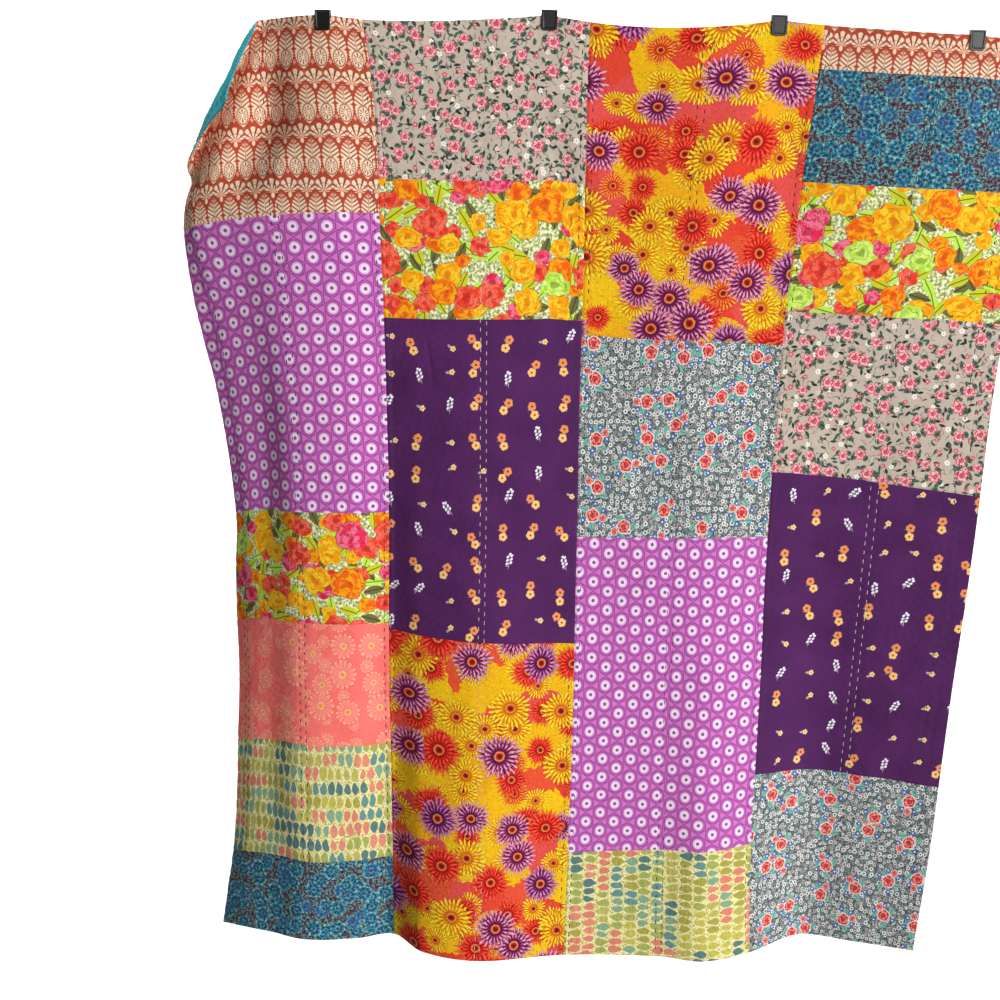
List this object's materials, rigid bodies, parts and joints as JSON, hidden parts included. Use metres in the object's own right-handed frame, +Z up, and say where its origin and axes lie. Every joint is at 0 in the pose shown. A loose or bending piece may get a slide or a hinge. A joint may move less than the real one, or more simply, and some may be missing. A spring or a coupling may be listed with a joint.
{
  "type": "kantha quilt with hanging clips",
  "caption": "Patchwork kantha quilt of printed cotton with a plain turquoise backing, hanging in soft folds from plain clips along its top edge.",
  "frame": {"origin": "middle of the quilt's top edge, at the level where the clips hold it", "axes": "+X to the right along the top edge as seen from the front, -Y out of the patchwork side, +Z up"},
  "size_m": [1.3251, 0.1989, 1.563],
  "materials": {
    "patchwork_cotton": "matte printed cotton",
    "backing_cotton": "matte plain cotton",
    "clip_black": "satin"
  },
  "bodies": {
    "root": {"quilt_top": "patchwork_cotton", "quilt_backing": "backing_cotton", "clip_1": "clip_black", "clip_2": "clip_black", "clip_3": "clip_black", "clip_4": "clip_black"}
  },
  "joints": []
}
